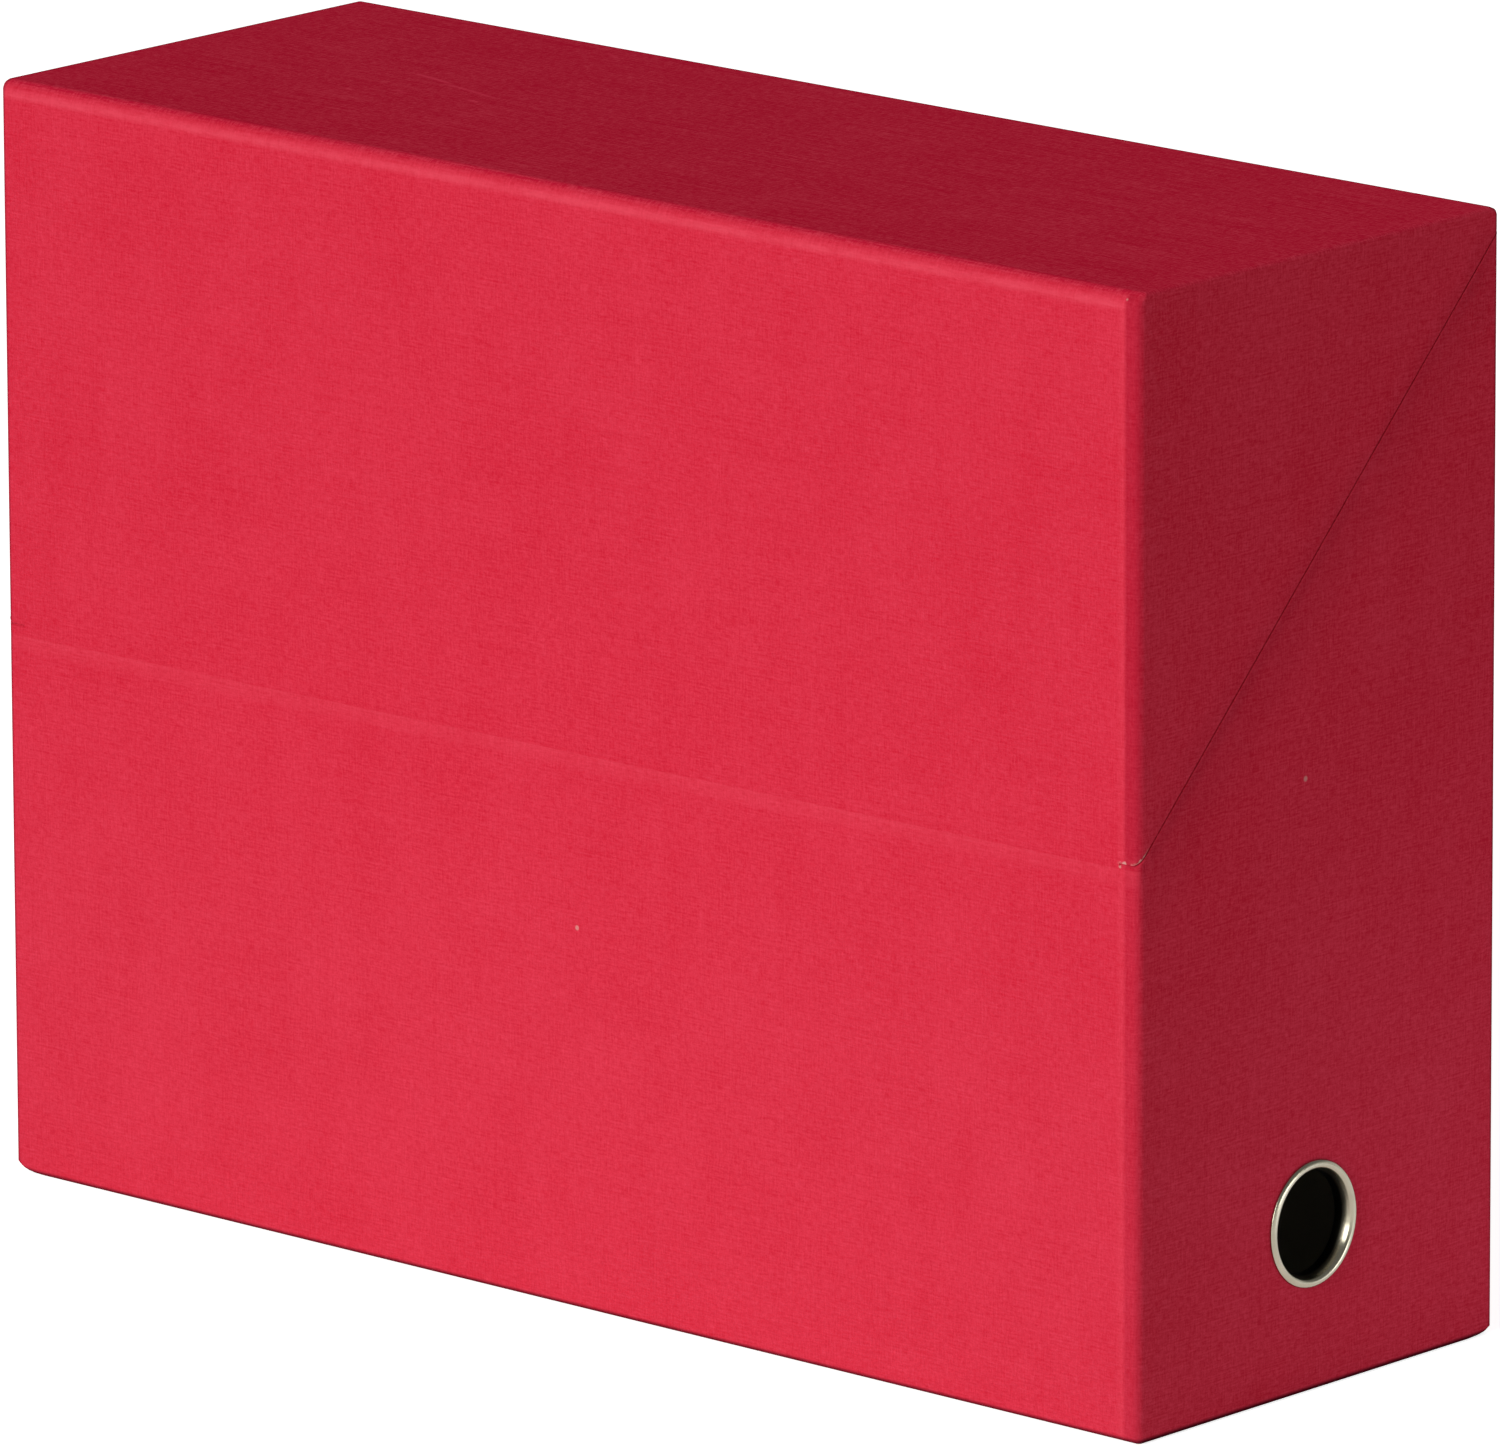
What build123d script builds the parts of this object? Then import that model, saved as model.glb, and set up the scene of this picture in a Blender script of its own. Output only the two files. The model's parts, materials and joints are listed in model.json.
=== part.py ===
from build123d import *
import math
import os

# Document box of covered greyboard, standing on its bottom, with a lid that tips forward.
# Millimetres. The origin is on the floor under the middle of the box. +X runs along the length
# to the end with the finger eyelet, -Y is the front with the crease, +Z is up.

# Closed box, measured over its covering
box_length = 340.0
box_depth = 120.0
box_height = 255.0

# Sheet stock
board = 2.0  # greyboard of the walls
cover = 0.3  # grained covering paper
lining = 0.3  # lining paper of the lid
collar_card = 1.0  # stiff card of the collar cheeks

# Outside radii of the folded edges
long_fold = 4.0  # upper level edges along the length
foot_fold = 2.0  # lower level edges along the length
upright_fold = 2.0  # upright edges
end_fold = 1.2  # level edges of the two ends
fold_ease = 0.04  # lets each fold run out just short of flat, as folded card does

# Lid: the crease that it tips about and the slanted cut from there to the back
hinge_height = 129.0
back_lip = 4.8  # height of the lid on the back
seam_gap = 0.5  # open seam between lid and base
crease_width = 2.5
crease_depth = 0.25
crease_border = 0.25  # flat paper between the crease and the front boards
strip_inset = 3.5  # hinge paper ends this far from the upright folds

# Covering turned over the edges
turn_in = 14.0  # over the cut edges to the inside
turn_under = 15.0  # border under the bottom
lining_margin = 3.0  # bare border between the linings and the cut

# Collar cheeks inside the two ends, which guide the lid
collar_rise = 15.0  # above the cut
collar_tuck = 40.0  # below the cut
collar_corner = 6.0  # rounding of the upper front corner
collar_clearance = 0.3  # to the lid, closed and while it tips

# Finger eyelet in the right end
eyelet_height = 38.0
eyelet_shift = -2.0  # from the middle of the depth, towards the front
eyelet_bore = 11.5  # radius
eyelet_metal = 0.5
eyelet_flange = 14.3  # radius of the domed rim outside
eyelet_dome = 0.9
eyelet_roll = 13.6  # radius of the rolled rim inside
eyelet_roll_dome = 0.4
eyelet_play = 0.15  # between the barrel and the holes
washer_radius = 17.0
washer_thickness = 0.5

half_length = box_length / 2
half_depth = box_depth / 2
wall = board + cover
inner_length = half_length - wall
inner_depth = half_depth - wall
inner_top = box_height - wall
reach = box_length + box_depth + box_height  # larger than anything in the box

# The cut starts at the crease on the front face and climbs to the lip on the back
cut_climb = box_height - back_lip - hinge_height
cut_slope = cut_climb / box_depth
cut_angle = math.degrees(math.atan(cut_slope))
cut_plane = Plane(
    origin=(0, -half_depth, hinge_height), x_dir=(1, 0, 0), z_dir=(0, -cut_climb, box_depth)
)

# Between these heights the front is paper alone, so that the lid can tip
base_front_top = hinge_height - crease_width / 2 - crease_border
crease_top = hinge_height + crease_width / 2 + crease_border
lid_front_bottom = max(crease_top, hinge_height + (wall + lining) * cut_slope + seam_gap)

# The base lining is thick enough to hold the collars clear of the lid
base_lining_thickness = max(cover, lining) + collar_clearance
collar_face = inner_length - base_lining_thickness


def block(low, high):
    size = [upper - lower for lower, upper in zip(low, high)]
    middle = [(upper + lower) / 2 for lower, upper in zip(low, high)]
    return Pos(*middle) * Box(*size)


def below_cut(drop):
    half_space = Box(2 * reach, 2 * reach, reach, align=(Align.CENTER, Align.CENTER, Align.MAX))
    return cut_plane.offset(-drop) * half_space


def above_cut(lift):
    half_space = Box(2 * reach, 2 * reach, reach, align=(Align.CENTER, Align.CENTER, Align.MIN))
    return cut_plane.offset(lift) * half_space


def side_outline(depth, height, inset):
    """Section across the length, rounder at the top than at the foot."""
    outline = Rectangle(depth, height)
    outline = fillet(outline.vertices().group_by(Axis.Y)[-1], long_fold - inset)
    return fillet(outline.vertices().group_by(Axis.Y)[0], foot_fold - inset)


def folded_block(inset):
    """Whole box with its folded edges, drawn in by inset on every side."""
    length = box_length - 2 * inset
    depth = box_depth - 2 * inset
    height = box_height - 2 * inset
    plan = RectangleRounded(length, depth + fold_ease, upright_fold - inset)
    side = Plane.YZ * side_outline(depth, height + fold_ease, inset)
    face = Plane.XZ * RectangleRounded(length + fold_ease, height, end_fold - inset)
    upright, lengthwise, across = [extrude(outline, reach, both=True) for outline in (plan, side, face)]
    return Pos(0, 0, box_height / 2) * (upright & lengthwise & across)


def base_form(inset):
    return folded_block(inset) & below_cut(seam_gap / 2 + inset)


def lid_form(inset):
    return folded_block(inset) & above_cut(seam_gap / 2 + inset)


# Zones of the walls: front and back run the full length and height, the bottom and the top
# lie between them, and the ends fill what is left
front_zone = block((-reach, -reach, -reach), (reach, -inner_depth, reach))
back_zone = block((-reach, inner_depth, -reach), (reach, reach, reach))
bottom_zone = block((-reach, -inner_depth, -reach), (reach, inner_depth, wall))
top_zone = block((-reach, -inner_depth, inner_top), (reach, inner_depth, reach))
right_zone = block((inner_length, -inner_depth, wall), (reach, inner_depth, inner_top))
left_zone = mirror(right_zone, Plane.YZ)
room = block((-inner_length, -inner_depth, wall), (inner_length, inner_depth, inner_top))

# Slot across the front where the hinge strip bridges the two front boards
strip_end = half_length - upright_fold - strip_inset
base_slot = block((-strip_end, -reach, base_front_top), (strip_end, -inner_depth, reach))
lid_slot = block((-strip_end, -reach, -reach), (strip_end, -inner_depth, lid_front_bottom))
base_front_span = block((-reach, -reach, -reach), (reach, reach, base_front_top))
lid_front_span = block((-reach, -reach, lid_front_bottom), (reach, reach, reach))

# Mouth of the box inside the turned-in covering, which the ends and the back have
mouth = block(
    (cover - inner_length, -inner_depth, wall), (inner_length - cover, inner_depth - cover, inner_top)
)
base_turn_in = (room & below_cut(seam_gap / 2)) - below_cut(seam_gap / 2 + turn_in) - mouth
lid_turn_in = (room & above_cut(seam_gap / 2)) - above_cut(seam_gap / 2 + turn_in) - mouth

# Place and layers of the eyelet, from the covering inwards
eyelet_plane = Plane(origin=(half_length, eyelet_shift, eyelet_height), x_dir=(0, 1, 0), z_dir=(1, 0, 0))
eyelet_barrel = eyelet_bore + eyelet_metal
washer_seat = wall + base_lining_thickness
roll_seat = washer_seat + washer_thickness
eyelet_hole = eyelet_plane * Cylinder(eyelet_barrel + eyelet_play, 4 * roll_seat)


def base_boards():
    core = base_form(cover)
    return {
        "base_bottom_board": core & bottom_zone,
        "base_front_board": core & front_zone & base_front_span,
        "base_back_board": core & back_zone,
        "base_left_end_board": core & left_zone,
        "base_right_end_board": (core & right_zone) - eyelet_hole,
    }


def lid_boards():
    core = lid_form(cover)
    return {
        "lid_top_board": core & top_zone,
        "lid_front_board": core & front_zone & lid_front_span,
        "lid_back_lip_board": core & back_zone,
        "lid_left_cheek_board": core & left_zone,
        "lid_right_cheek_board": core & right_zone,
    }


def bottom_window():
    window_x = half_length - turn_under
    window_y = half_depth - turn_under
    return block((-window_x, -window_y, 0), (window_x, window_y, cover))


def base_covering():
    skin = base_form(0) - (base_form(cover) - base_turn_in) - mouth
    return skin - base_slot - bottom_window() - eyelet_hole


def lid_covering():
    skin = lid_form(0) - (lid_form(cover) - lid_turn_in) - mouth
    return skin - lid_slot


def base_inside():
    thick = base_lining_thickness
    hollow = block(
        (thick - inner_length, thick - inner_depth, wall + thick),
        (inner_length - thick, inner_depth - thick, reach),
    )
    tray = (room & below_cut(seam_gap / 2 + lining_margin)) - hollow
    return tray - base_turn_in - eyelet_hole


def lid_inside():
    hollow = block(
        (lining - inner_length, lining - inner_depth, -reach),
        (inner_length - lining, inner_depth - lining, inner_top - lining),
    )
    tray = (room & above_cut(seam_gap / 2 + lining_margin)) - hollow
    return tray - lid_turn_in


def collar(side):
    """Cheek along the cut, trimmed to stay inside the path of the lid's back lip."""
    width = collar_rise + collar_tuck
    at_hinge = Pos(-half_depth, hinge_height) * Rot(0, 0, cut_angle)
    strip = at_hinge * Pos(0, collar_rise - width / 2) * Rectangle(2 * reach, width)
    half_width = inner_depth - base_lining_thickness
    ceiling = inner_top - lining - collar_clearance
    window = Pos(0, ceiling / 2) * Rectangle(2 * half_width, ceiling)
    lip_path = math.hypot(1, cut_slope) * (half_depth + inner_depth - cover) - collar_clearance
    swing = Pos(-half_depth, hinge_height) * Circle(lip_path)
    profile = strip & window & swing
    upper_front = profile.vertices().group_by(Axis.X)[0].sort_by(Axis.Y)[-1]
    profile = fillet(upper_front, collar_corner)
    cheek = extrude(Plane.YZ.offset(collar_face - collar_card) * profile, collar_card)
    return cheek if side > 0 else mirror(cheek, Plane.YZ)


def eyelet():
    rim_middle = (eyelet_bore + eyelet_flange) / 2
    roll_middle = (eyelet_bore + eyelet_roll) / 2
    outline = [
        Line((eyelet_bore, -roll_seat), (eyelet_bore, 0)),
        ThreePointArc((eyelet_bore, 0), (rim_middle, eyelet_dome), (eyelet_flange, 0)),
        Line((eyelet_flange, 0), (eyelet_barrel, 0)),
        Line((eyelet_barrel, 0), (eyelet_barrel, -roll_seat)),
        Line((eyelet_barrel, -roll_seat), (eyelet_roll, -roll_seat)),
        ThreePointArc(
            (eyelet_roll, -roll_seat), (roll_middle, -roll_seat - eyelet_roll_dome), (eyelet_bore, -roll_seat)
        ),
    ]
    return eyelet_plane * revolve(Plane.XZ * make_face(outline), Axis.Z)


def washer():
    ring = Circle(washer_radius) - Circle(eyelet_barrel + eyelet_play)
    return eyelet_plane.offset(-roll_seat) * extrude(ring, washer_thickness)


def hinge_strip():
    """Covering paper between the two front boards, with the crease pressed into it."""
    outside = -half_depth
    inside = outside + cover
    low = hinge_height - crease_width / 2
    high = hinge_height + crease_width / 2
    outline = [
        Line((outside, base_front_top), (outside, low)),
        ThreePointArc((outside, low), (outside + crease_depth, hinge_height), (outside, high)),
        Line((outside, high), (outside, lid_front_bottom)),
        Line((outside, lid_front_bottom), (inside, lid_front_bottom)),
        Line((inside, lid_front_bottom), (inside, high)),
        ThreePointArc((inside, high), (inside + crease_depth, hinge_height), (inside, low)),
        Line((inside, low), (inside, base_front_top)),
        Line((inside, base_front_top), (outside, base_front_top)),
    ]
    return extrude(Plane.YZ * make_face(outline), strip_end, both=True)


pieces = {
    **base_boards(),
    "base_wrap": base_covering(),
    "base_bottom_sheet": bottom_window(),
    "base_lining": base_inside(),
    "collar_left": collar(-1),
    "collar_right": collar(1),
    "finger_eyelet": eyelet(),
    "eyelet_washer": washer(),
    "hinge_strip": hinge_strip(),
    **lid_boards(),
    "lid_wrap": lid_covering(),
    "lid_lining": lid_inside(),
}

os.makedirs("parts", exist_ok=True)
for name, shape in pieces.items():
    export_step(shape, f"parts/{name}.step")
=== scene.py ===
import json
import math
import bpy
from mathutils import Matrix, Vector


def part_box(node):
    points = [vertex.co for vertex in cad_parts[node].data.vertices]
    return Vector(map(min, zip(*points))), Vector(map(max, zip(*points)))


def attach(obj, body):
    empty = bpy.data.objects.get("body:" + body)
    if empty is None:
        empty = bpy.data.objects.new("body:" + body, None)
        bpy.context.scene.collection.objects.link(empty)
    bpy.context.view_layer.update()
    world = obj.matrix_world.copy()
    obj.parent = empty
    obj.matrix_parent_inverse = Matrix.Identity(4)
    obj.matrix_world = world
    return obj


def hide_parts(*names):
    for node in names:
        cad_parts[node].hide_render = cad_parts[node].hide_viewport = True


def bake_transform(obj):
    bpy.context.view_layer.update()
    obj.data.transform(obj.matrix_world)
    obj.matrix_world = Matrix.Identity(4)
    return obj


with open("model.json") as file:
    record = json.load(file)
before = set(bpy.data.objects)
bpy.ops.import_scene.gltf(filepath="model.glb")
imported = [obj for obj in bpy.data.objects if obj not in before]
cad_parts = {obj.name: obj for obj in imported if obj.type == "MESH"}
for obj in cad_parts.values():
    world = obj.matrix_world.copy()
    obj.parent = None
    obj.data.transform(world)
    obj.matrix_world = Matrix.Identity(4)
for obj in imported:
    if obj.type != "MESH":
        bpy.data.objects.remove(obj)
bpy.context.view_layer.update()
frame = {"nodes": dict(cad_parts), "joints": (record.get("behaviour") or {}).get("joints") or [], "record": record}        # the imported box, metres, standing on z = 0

from types import SimpleNamespace

import bmesh
import bpy
from mathutils import Matrix, Vector, noise

mm = 0.001
sliceSnap, weld, nearly = 1e-7, 1e-6, 1e-5            # tolerances in metres
scene = bpy.context.scene
print("frame:", len(frame["nodes"]), "nodes")

# Sizes read off the frame
_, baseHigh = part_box("base_wrap")
lidLow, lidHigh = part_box("lid_wrap")
stripLow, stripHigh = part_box("hinge_strip")
eyeletLow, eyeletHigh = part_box("finger_eyelet")
halfLength = baseHigh.x
halfDepth = baseHigh.y
boxHeight = lidHigh.z
hinge = Vector(frame["joints"][0]["pos_m"])
seamHalf = lidLow.z - hinge.z                        # half of the open seam, measured upright
backCut = baseHigh.z + seamHalf                      # height of the slanted cut at the back
cutSlope = (backCut - hinge.z) / (2 * halfDepth)
cutNormal = Vector((0, -cutSlope, 1)).normalized()
eyeletCentre = Vector((halfLength, (eyeletLow.y + eyeletHigh.y) / 2, (eyeletLow.z + eyeletHigh.z) / 2))


def cutHeight(y):
    return hinge.z + cutSlope * (y + halfDepth)


def rgb(red, green, blue):
    return (red, green, blue, 1.0)


# Shader helpers

class Wire:                                          # one shader value, + - * add Math nodes
    def __init__(self, recipe, socket):
        self.recipe = recipe
        self.socket = socket

    def math(self, operation, *values):
        return self.recipe.node("Math", {"operation": operation}, dict(enumerate(values)))

    def __add__(self, other):
        return self.math("ADD", self, other)

    def __radd__(self, other):
        return self.math("ADD", other, self)

    def __sub__(self, other):
        return self.math("SUBTRACT", self, other)

    def __rsub__(self, other):
        return self.math("SUBTRACT", other, self)

    def __mul__(self, other):
        return self.math("MULTIPLY", self, other)

    def __rmul__(self, other):
        return self.math("MULTIPLY", other, self)

    def __abs__(self):
        return self.math("ABSOLUTE", self)

    def sine(self):
        return self.math("SINE", self)

    def most(self, other):
        return self.math("MAXIMUM", self, other)


class Recipe:                                        # the nodes of one material or of the world
    def __init__(self, owner):
        owner.use_nodes = True
        self.owner = owner
        self.tree = owner.node_tree
        self.tree.nodes.clear()

    def node(self, kind, settings=None, sockets=None, out=0):
        made = self.tree.nodes.new("ShaderNode" + kind)
        for key, value in (settings or {}).items():
            setattr(made, key, value)
        for key, value in (sockets or {}).items():
            if isinstance(value, Wire):
                self.tree.links.new(value.socket, made.inputs[key])
            else:
                made.inputs[key].default_value = value
        return Wire(self, made.outputs[out]) if made.outputs else None

    def split(self, vector):
        first = self.node("SeparateXYZ", None, {0: vector})
        return [Wire(self, socket) for socket in first.socket.node.outputs]

    def join(self, x, y, z):
        return self.node("CombineXYZ", None, {0: x, 1: y, 2: z})

    def noise(self, vector, scale=1.0, detail=2.0, roughness=0.5):
        return self.node("TexNoise", None,
                         {"Vector": vector, "Scale": scale, "Detail": detail, "Roughness": roughness})

    def fade(self, value, start, end, low=0.0, high=1.0):    # soft step from low to high
        return self.node("MapRange", {"interpolation_type": "SMOOTHSTEP"},
                         {0: value, 1: start, 2: end, 3: low, 4: high})

    def tint(self, factor, first, second):
        return self.node("Mix", {"data_type": "RGBA"}, {0: factor, 6: first, 7: second}, out=2)

    def spot(self, place, point, radius):                    # 1 at a point, 0 from radius on
        away = self.node("VectorMath", {"operation": "DISTANCE"}, {0: place, 1: point}, out="Value")
        return self.fade(away, radius, 0.4 * radius)

    def bump(self, height, relief):
        return self.node("Bump", None, {"Height": height, "Distance": relief})

    def principled(self, **inputs):
        names = {"color": "Base Color", "roughness": "Roughness", "metallic": "Metallic", "normal": "Normal",
                 "specular": "Specular IOR Level"}
        shader = self.node("BsdfPrincipled", None, {names[key]: value for key, value in inputs.items()})
        self.node("OutputMaterial", None, {"Surface": shader})
        return self.owner


def newRecipe(name):
    return Recipe(bpy.data.materials.new(name))


# Covering paper: where a point is on the box, for every mark that follows

placeSet = {                                         # each face fades in from the first depth to the second
    "top": (1.2 * mm, 0.2 * mm),
    "end": (0.6 * mm, 0.1 * mm),
    "front": (2.2 * mm, 0.5 * mm),
    "lid": (0.0, 0.1 * mm),
}


def sheetPlaces(r):
    s = placeSet
    place = r.node("TexCoord", None, None, out="Object")
    x, y, z = r.split(place)
    u, v, _ = r.split(r.node("TexCoord", None, None, out="UV"))
    p = SimpleNamespace(place=place, x=x, y=y, z=z, u=u, v=v)
    p.edgeX = halfLength - abs(x)
    p.edgeY = halfDepth - abs(y)
    p.edgeTop = boxHeight - z
    p.fromLeft = x + halfLength
    p.fromRight = halfLength - x
    p.fromFront = y + halfDepth
    p.fromBack = halfDepth - y
    p.aboveCut = (z - p.fromFront * cutSlope - hinge.z) * cutNormal.z
    p.onTop = r.fade(p.edgeTop, *s["top"])
    p.onEnd = r.fade(p.edgeX, *s["end"])
    p.onFront = r.fade(p.fromFront, *s["front"])
    p.onLid = r.fade(p.aboveCut, *s["lid"])
    return p


# Linen grain: threads both ways, in short uneven lengths, with a few that run on

threadSet = {
    "width": 0.45 * mm,
    "short": 2.6 * mm,
    "long": 40 * mm,
    "weft": 0.32,                                    # share of each kind of thread
    "warp": 0.28,
    "speckle": 0.3,
    "longWarp": 0.1,
    "longWeft": 0.17,
    "longWeftOnTop": 0.15,                           # more of them on the top
    "speckleScale": 1.2,
    "contrast": 3.0,
    "contrastOnTop": 0.9,                            # more of it on the top and the ends
    "contrastOnEnd": 0.4,
    "mottle": 18 * mm,
    "mottleShare": 0.45,
    "column": (9 * mm, 70 * mm),                     # faint upright bands, width and length
    "columnShare": 0.2,
    "pitch": 0.5 * mm,                               # of the fine weave in the relief
    "drift": 20 * mm,                                # the weave wanders over this length
    "driftTurns": (9, 7),
    "weaveShare": 0.08,
}


def threads(r, p, across, up, layer, scale=1.0):     # noise drawn out along the flat sheet, about zero
    return r.noise(r.join(p.u * (1 / across), p.v * (1 / up), layer), scale, 1.0) - 0.5


def linenGrain(r, p):
    s = threadSet
    thin, short, long = s["width"], s["short"], s["long"]
    weft = threads(r, p, short, thin, 0.0)
    warp = threads(r, p, thin, short, 7.0)
    speckle = threads(r, p, thin, thin, 3.0, s["speckleScale"])
    longWeft = threads(r, p, long, thin, 11.0)
    longWarp = threads(r, p, thin, long, 13.0)
    cloth = weft * s["weft"] + warp * s["warp"] + speckle * s["speckle"] + longWarp * s["longWarp"]
    return cloth + longWeft * (s["longWeft"] + p.onTop * s["longWeftOnTop"])


def grainShade(r, p, cloth):                         # 0 in the deep colour, 1 in the light one
    s = threadSet
    contrast = s["contrast"] * (1 + p.onTop * s["contrastOnTop"] + p.onEnd * s["contrastOnEnd"])
    mottle = r.noise(p.place, 1 / s["mottle"], 3.0, 0.6) - 0.5
    columns = threads(r, p, *s["column"], 5.0)
    return 0.5 + cloth * contrast + mottle * s["mottleShare"] + columns * s["columnShare"]


def grainRelief(r, p, cloth):
    s = threadSet
    turn = 2 * math.pi / s["pitch"]
    drift = r.noise(p.place, 1 / s["drift"], 1.0)
    alongU, alongV = s["driftTurns"]
    weave = (p.u * turn + drift * alongU).sine() * (p.v * turn + drift * alongV).sine()
    return cloth + weave * s["weaveShare"]


# Painted shade on the front beside the right upright fold, where the fold turns away from the light, and a
# rubbed light rim beside it

rightFoldShadeSet = {
    "edge": (4.7 * mm, 3.2 * mm),                    # from the right end
    "rim": (6.55 * mm, 4.7 * mm),                    # light rim beside it
    "rimShare": 0.35,
    "onBase": 0.65,                                  # fainter under the hinge
}


def inRightFoldShade(r, p):
    return r.fade(p.fromRight, *rightFoldShadeSet["edge"])


# Painted shade where the right upright fold turns away from the light
def rightFoldShade(r, p):
    onBase = rightFoldShadeSet["onBase"]
    return inRightFoldShade(r, p) * p.onFront * (onBase + p.onLid * (1 - onBase))


def rightFoldRim(r, p):
    rim = r.fade(p.fromRight, *rightFoldShadeSet["rim"]) * (1 - inRightFoldShade(r, p))
    return rim * p.onFront * rightFoldShadeSet["rimShare"]


# Pressed line of the hinge: a painted highlight band, then a thin painted shade line that grows to the right

creaseSet = {
    "level": 127.4 * mm,                             # valley of the pressed line at mid length
    "tilt": 0.004,                                   # it climbs to the right
    "lower": 4.4 * mm,                               # long flank below the valley
    "upper": 1.3 * mm,                               # short flank above it
    "depthLeft": 0.06 * mm,
    "depthRight": 0.12 * mm,
    "hollow": 1.4,                                   # power of the flanks' curve
    "uneven": (0.85, 0.3),                           # mean share of the depth, and how far it wavers
    "unevenLength": 22 * mm,
    "foldReach": 1.5 * mm,                           # it runs out over the upright folds
    "steps": (-1.15, -1.0, -0.75, -0.5, -0.25, -0.1, 0.0, 0.25, 0.6, 1.0, 1.35),
    "bandShare": 0.8,                                # painted highlight band on the long flank
    "lip": 1.5 * mm,                                 # painted highlight, lighter still beside the valley
    "lipShare": 0.4,
    "bandHighlight": 0.35,
    "lineBlur": 0.2 * mm,
    "lineFrom": 0.3 * mm,                            # the painted shade line fades out over the short flank
    "lineReach": 1.1,
    "lineShade": 0.08,
    "lineLeft": 0.5,                                 # of the shade at the left end
}


def overCrease(p):
    return p.z - p.x * creaseSet["tilt"] - creaseSet["level"]


# Painted highlight: the long flank below the valley faces up into the light
def creaseHighlight(r, p):
    s = creaseSet
    over, blur = overCrease(p), s["lineBlur"]
    flank = r.fade(over, -s["lower"], -0.5 * s["lower"], 0.0, s["bandShare"])
    lip = r.fade(over, -s["lip"], 0.0, 0.0, s["lipShare"])
    return (flank + lip) * r.fade(over, blur, -blur) * p.onFront * s["bandHighlight"]


# Painted shade: the short flank above the valley faces down, away from the light
def creaseShadeLine(r, p):
    s = creaseSet
    over, blur = overCrease(p), s["lineBlur"]
    line = r.fade(over, -blur, blur) * r.fade(over, s["lineReach"] * s["upper"], s["lineFrom"])
    return line * p.onFront * r.fade(p.x, -halfLength, halfLength, s["lineLeft"], 1.0) * s["lineShade"]


# Folds and edges polished by hands, with a painted sheen on the long folds and a painted highlight beside the
# crease, and scratches on the top

rubAndSheenSet = {
    "foldBelow": (4.65 * mm, 3.15 * mm),             # long folds: a light line of rubbing and painted sheen this far under the top
    "foldAbove": (1.05 * mm, 3.0 * mm),
    "foldDepth": (3.0 * mm, 1.5 * mm),
    "endFold": (1.5 * mm, 0.3 * mm),
    "endShare": 0.2,
    "lidEdge": (1.6 * mm, 0.48 * mm),                # cut edge of the lid
    "lidEdgeShare": (0.05, 0.2),                     # at mid depth and at the front
    "lidEdgeEnds": (6 * mm, 3 * mm),
    "patch": 5 * mm,
    "patchRange": (0.25, 0.65, 0.45, 1.0),
    "scuffs": ((-104.9, 6.7, -88.2, 3.0, 0.5), (-92.8, 2.9, -70.3, -1.7, 0.4),
               (-76.0, -6.6, -71.1, -7.4, 0.5), (-95.3, -9.4, -89.3, -11.3, 0.3),
               (-105.1, -15.1, -101.6, -16.3, 0.35),
               (-86.6, 51.8, -79.5, 47.8, 0.3)),     # two ends on the top, in millimetres, and strength
    "scuffWidth": 1.1 * mm,
    "scuffEnds": 0.25,                               # share of the length that fades at each end
}


def rubAndSheenPlaces(r, p):
    s = rubAndSheenSet
    # rubbed, with a painted sheen where the long fold faces the light
    longFold = r.fade(p.edgeTop, *s["foldBelow"]) * r.fade(p.edgeTop, *s["foldAbove"])
    longFold = longFold * r.fade(p.edgeY, *s["foldDepth"]) * (1 - inRightFoldShade(r, p))
    endFold = r.fade(p.edgeX.most(p.edgeTop), *s["endFold"]) * s["endShare"]
    lidEdge = r.fade(p.aboveCut, *s["lidEdge"]) * p.onLid * r.fade(p.edgeX, *s["lidEdgeEnds"])
    lidEdge = lidEdge * r.fade(p.y, 0.0, -halfDepth, *s["lidEdgeShare"])
    patchy = r.fade(r.noise(p.place, 1 / s["patch"], 3.0, 0.6), *s["patchRange"])
    return longFold.most(endFold).most(lidEdge).most(rightFoldRim(r, p)).most(creaseHighlight(r, p)) * patchy


def scuffMark(r, p, line):                           # thin light scratch with faded ends
    s = rubAndSheenSet
    startX, startY, endX, endY = (value * mm for value in line[:4])
    length = math.hypot(endX - startX, endY - startY)
    cos, sin = (endX - startX) / length, (endY - startY) / length
    along = (p.x - startX) * cos + (p.y - startY) * sin
    across = abs((p.y - startY) * cos - (p.x - startX) * sin)
    fadeLength = s["scuffEnds"] * length
    ends = r.fade(along, 0.0, fadeLength) * r.fade(along, length, length - fadeLength)
    return r.fade(across, s["scuffWidth"], 0.0) * ends * p.onTop * line[4]


# Torn paper where the slit of the hinge runs round the right upright fold, and small flecks

tearSet = {
    "from": (163.8 * mm, 164.8 * mm),                # along the front, and round the fold
    "round": (3.5 * mm, 2.0 * mm),
    "gap": 167.2 * mm,                               # whole paper between the two tears
    "gapReach": (0.4 * mm, 0.9 * mm),
    "height": (0.65 * mm, 0.35 * mm),
    "ragged": 0.8 * mm,
    "raggedHeight": 1.2 * mm,
    "broken": 2.2 * mm,
    "brokenRange": (0.38, 0.5, 0.35, 1.0),
    "flecks": ((5.8, -60.0, 87.7, 0.75), (170.0, -4.8, 138.5, 0.85), (166.2, -59.8, 253.6, 0.55),
               (164.7, -60.0, 128.6, 0.5)),          # x, y, z and radius in millimetres
    "fleckShare": 0.7,
}


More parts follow.
